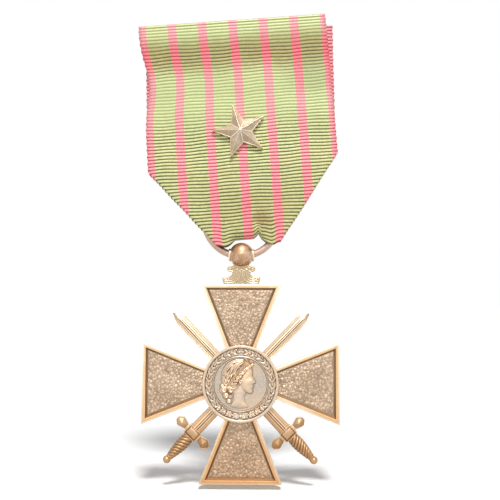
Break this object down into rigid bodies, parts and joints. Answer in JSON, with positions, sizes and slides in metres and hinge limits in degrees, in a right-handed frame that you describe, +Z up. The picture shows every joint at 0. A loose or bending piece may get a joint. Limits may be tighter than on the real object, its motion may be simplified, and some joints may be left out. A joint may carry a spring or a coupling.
{
  "type": "medal",
  "caption": "Bronze military cross with crossed swords and a round centre, hung by ball and ring from a folded striped ribbon that carries a star and pins on with a brooch.",
  "frame": {"origin": "middle of the brooch pin's bare shank, behind the top of the ribbon", "axes": "+Z up as the medal hangs, -Y the front that faces the viewer, +X to the viewer's right"},
  "size_m": [0.0387, 0.0073, 0.0897],
  "materials": {
    "ribbon_silk": "ribbed silk, green with narrow red stripes",
    "thread": "waxed thread",
    "brooch_brass": "dull brass",
    "pin_steel": "drawn steel wire",
    "star_bronze": "aged bronze, worn bright on the ridges",
    "ring_bronze": "drawn bronze wire, browned",
    "ball_bronze": "dark polished bronze",
    "cross_bronze": "aged bronze, gold-tan on the rims and grey-brown in the fields",
    "sword_bronze": "aged bronze",
    "medallion_bronze": "aged bronze with dark hollows"
  },
  "bodies": {
    "ribbon_and_brooch": {"ribbon": "ribbon_silk", "loop_stitching": "thread", "bar_stitching": "thread", "brooch_bar": "brooch_brass", "hinge_block": "brooch_brass", "hinge_rivet": "brooch_brass", "catch_hook": "brooch_brass", "star": "star_bronze", "star_prongs": "star_bronze"},
    "pin": {"brooch_pin": "pin_steel"},
    "ring": {"suspension_ring": "ring_bronze"},
    "medal": {"ball": "ball_bronze", "ring_bush": "ball_bronze", "scroll_mount": "cross_bronze", "cross": "cross_bronze", "sword_left": "sword_bronze", "sword_right": "sword_bronze", "front_medallion": "medallion_bronze", "back_medallion": "medallion_bronze", "centre_rivet": "cross_bronze"}
  },
  "joints": [
    {"name": "pin_swing", "type": "hinge", "parent": "ribbon_and_brooch", "child": "pin", "pos_m": [-0.01266, 0, -0.00095], "axis": [0, 1, 0], "range_deg": [0, 70]},
    {"name": "ring_sway", "type": "hinge", "parent": "ribbon_and_brooch", "child": "ring", "pos_m": [0.00138, -0.0031, -0.03299], "axis": [0, 1, 0], "range_deg": [-8, 8]},
    {"name": "medal_swing", "type": "hinge", "parent": "ring", "child": "medal", "pos_m": [0.00138, -0.0031, -0.03987], "axis": [1, 0, 0], "range_deg": [-114, 114]}
  ]
}
